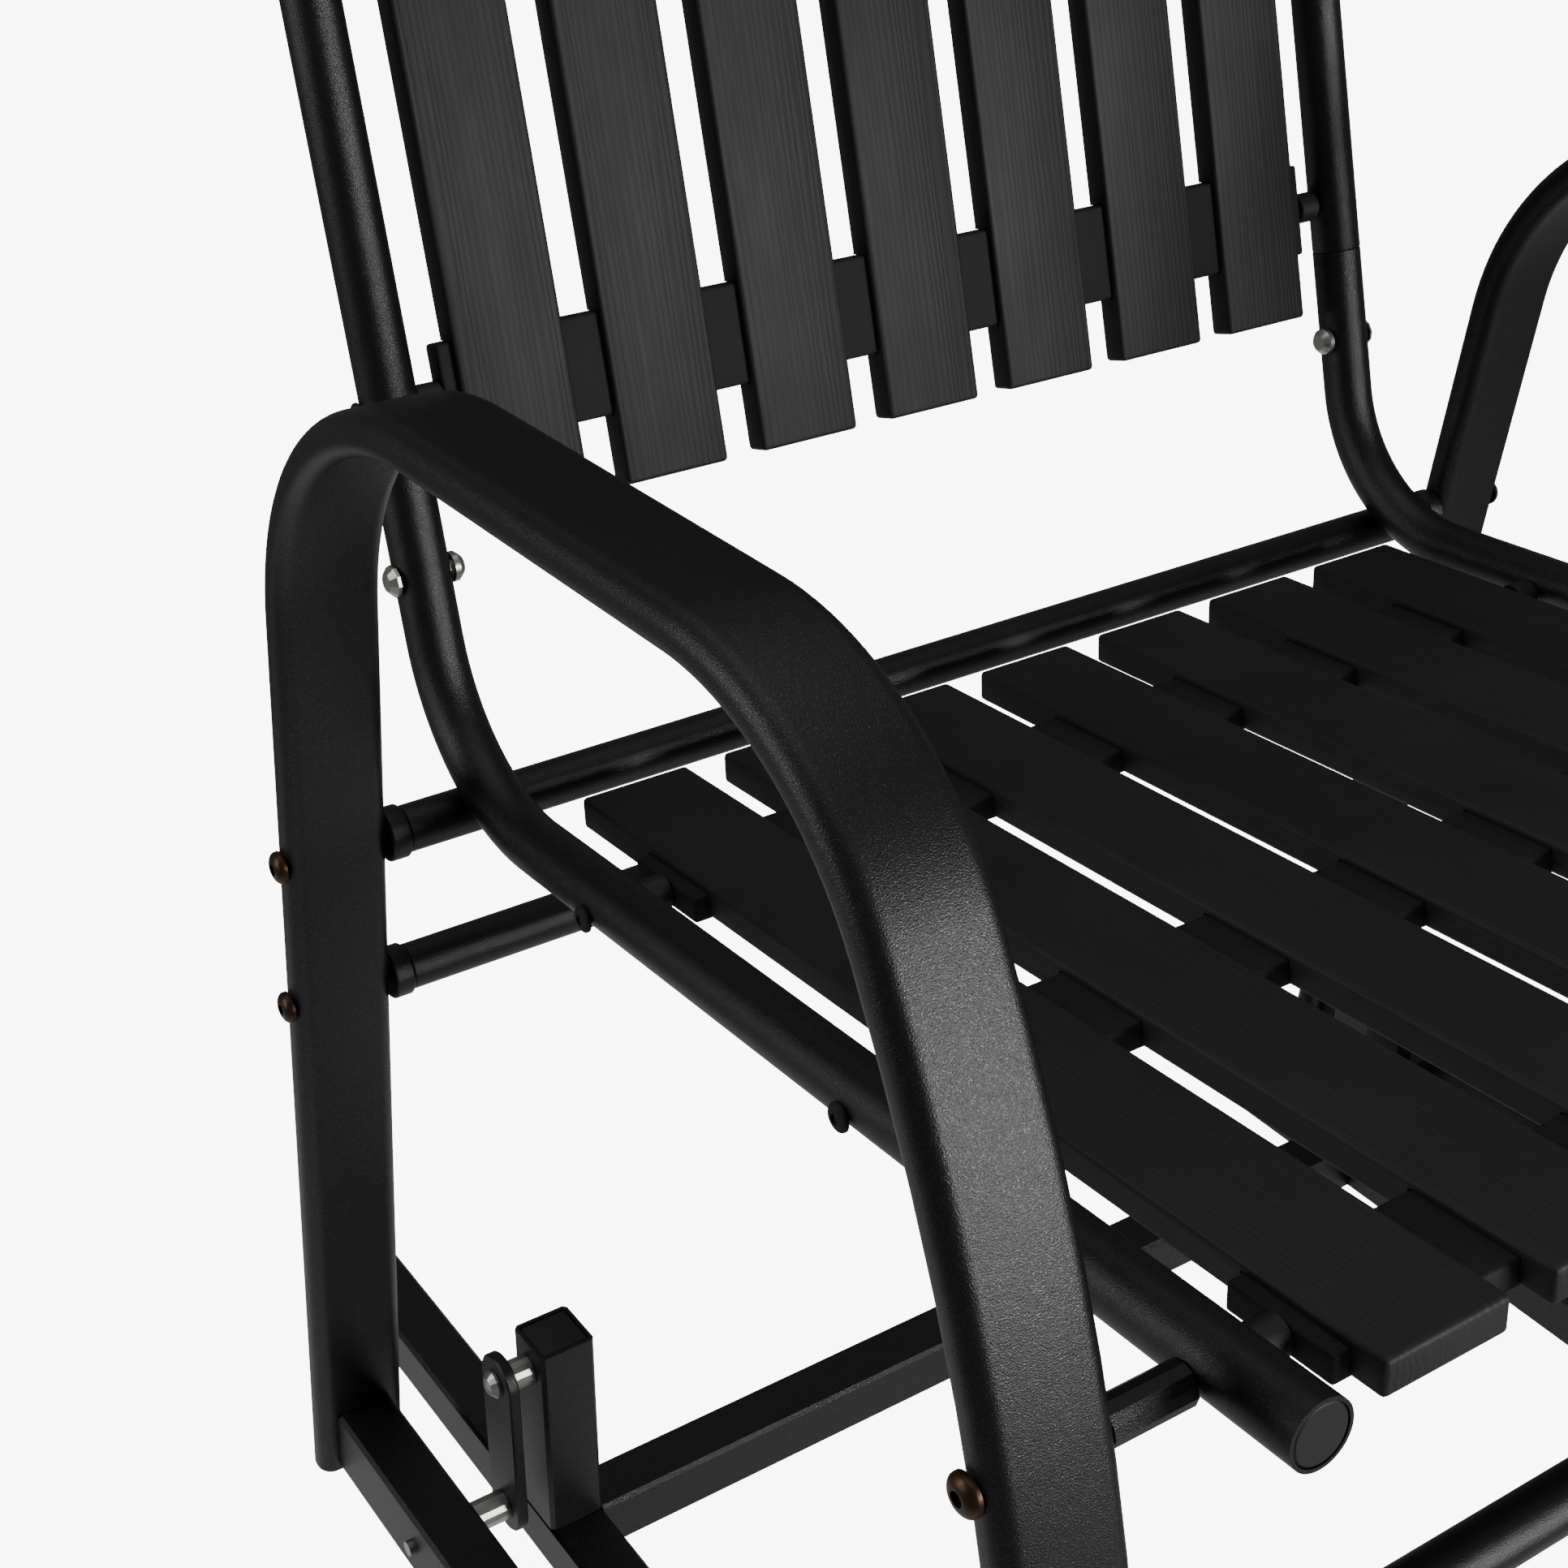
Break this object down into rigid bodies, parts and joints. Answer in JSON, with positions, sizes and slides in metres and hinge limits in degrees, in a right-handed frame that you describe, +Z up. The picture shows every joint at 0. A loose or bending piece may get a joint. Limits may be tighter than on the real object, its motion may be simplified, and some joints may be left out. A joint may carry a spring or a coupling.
{
  "type": "porch swing",
  "caption": "Single-seat gliding porch swing: slatted seat and back in a bent tube frame with loop arms, hung by flat swing links from a floor-standing base.",
  "frame": {"origin": "on the floor, below the middle of the base", "axes": "+Z up, the sitter faces -Y, +X is to the right for someone who faces the seat from the front"},
  "size_m": [0.7706, 0.7642, 0.9842],
  "materials": {
    "powder_coat": "semi-gloss black powder coat with a fine fleck",
    "slat_board": "matte near-black board with an embossed wood grain",
    "bronze_bolt": "dark bronze plating",
    "zinc_bolt": "bright zinc plating"
  },
  "bodies": {
    "base": {"floor_rail_left": "powder_coat", "floor_rail_right": "powder_coat", "base_cross_rear": "powder_coat", "base_cross_front": "powder_coat", "post_rear_left": "powder_coat", "post_rear_right": "powder_coat", "post_front_left": "powder_coat", "post_front_right": "powder_coat", "upper_pivot_bolt_rear_left": "zinc_bolt", "upper_pivot_bolt_rear_right": "zinc_bolt", "upper_pivot_bolt_front_left": "zinc_bolt", "upper_pivot_bolt_front_right": "zinc_bolt"},
    "seat_unit": {"arm_frame_left": "powder_coat", "arm_frame_right": "powder_coat", "side_rail_left": "powder_coat", "side_rail_right": "powder_coat", "back_stile_left": "powder_coat", "back_stile_right": "powder_coat", "upper_cross_tube": "powder_coat", "lower_cross_tube": "powder_coat", "front_cross_tube": "powder_coat", "seat_bar_rear": "powder_coat", "seat_bar_middle": "powder_coat", "seat_bar_front": "powder_coat", "back_bar_lower": "powder_coat", "back_bar_upper": "powder_coat", "hanger_rail_left": "powder_coat", "hanger_rail_right": "powder_coat", "front_leg_spacer_left": "powder_coat", "front_leg_spacer_right": "powder_coat", "seat_slat_1": "slat_board", "seat_slat_2": "slat_board", "seat_slat_3": "slat_board", "seat_slat_4": "slat_board", "seat_slat_5": "slat_board", "seat_slat_6": "slat_board", "seat_slat_7": "slat_board", "back_slat_1": "slat_board", "back_slat_2": "slat_board", "back_slat_3": "slat_board", "back_slat_4": "slat_board", "back_slat_5": "slat_board", "back_slat_6": "slat_board", "back_slat_7": "slat_board", "upper_leg_bolt_left": "bronze_bolt", "upper_leg_bolt_right": "bronze_bolt", "lower_leg_bolt_left": "bronze_bolt", "lower_leg_bolt_right": "bronze_bolt", "front_leg_bolt_left": "bronze_bolt", "front_leg_bolt_right": "bronze_bolt", "back_joint_bolt_left": "zinc_bolt", "back_joint_bolt_right": "zinc_bolt", "lower_pivot_bolt_rear_left": "zinc_bolt", "lower_pivot_bolt_rear_right": "zinc_bolt", "lower_pivot_bolt_front_left": "zinc_bolt", "lower_pivot_bolt_front_right": "zinc_bolt"},
    "link_rear_left": {"link_rear_left": "powder_coat"},
    "link_rear_right": {"link_rear_right": "powder_coat"},
    "link_front_left": {"link_front_left": "powder_coat"},
    "link_front_right": {"link_front_right": "powder_coat"}
  },
  "joints": [
    {"name": "rear_left_swing", "type": "hinge", "parent": "base", "child": "link_rear_left", "pos_m": [-0.31625, 0.1496, 0.13], "axis": [1, 0, 0], "range_deg": [-22, 22]},
    {"name": "rear_right_swing", "type": "hinge", "parent": "base", "child": "link_rear_right", "pos_m": [0.31625, 0.1496, 0.13], "axis": [1, 0, 0], "range_deg": [-22, 22]},
    {"name": "front_left_swing", "type": "hinge", "parent": "base", "child": "link_front_left", "pos_m": [-0.31625, -0.26309, 0.13], "axis": [1, 0, 0], "range_deg": [-22, 22]},
    {"name": "front_right_swing", "type": "hinge", "parent": "base", "child": "link_front_right", "pos_m": [0.31625, -0.26309, 0.13], "axis": [1, 0, 0], "range_deg": [-22, 22]},
    {"name": "seat_level", "type": "hinge", "parent": "link_rear_left", "child": "seat_unit", "pos_m": [-0.31625, 0.1496, 0.048], "axis": [1, 0, 0], "range_deg": [-22, 22]}
  ],
  "couplings": [
    {"joint": "rear_right_swing", "follows": "rear_left_swing", "ratio": 1},
    {"joint": "front_left_swing", "follows": "rear_left_swing", "ratio": 1},
    {"joint": "front_right_swing", "follows": "rear_left_swing", "ratio": 1},
    {"joint": "seat_level", "follows": "rear_left_swing", "ratio": -1}
  ]
}
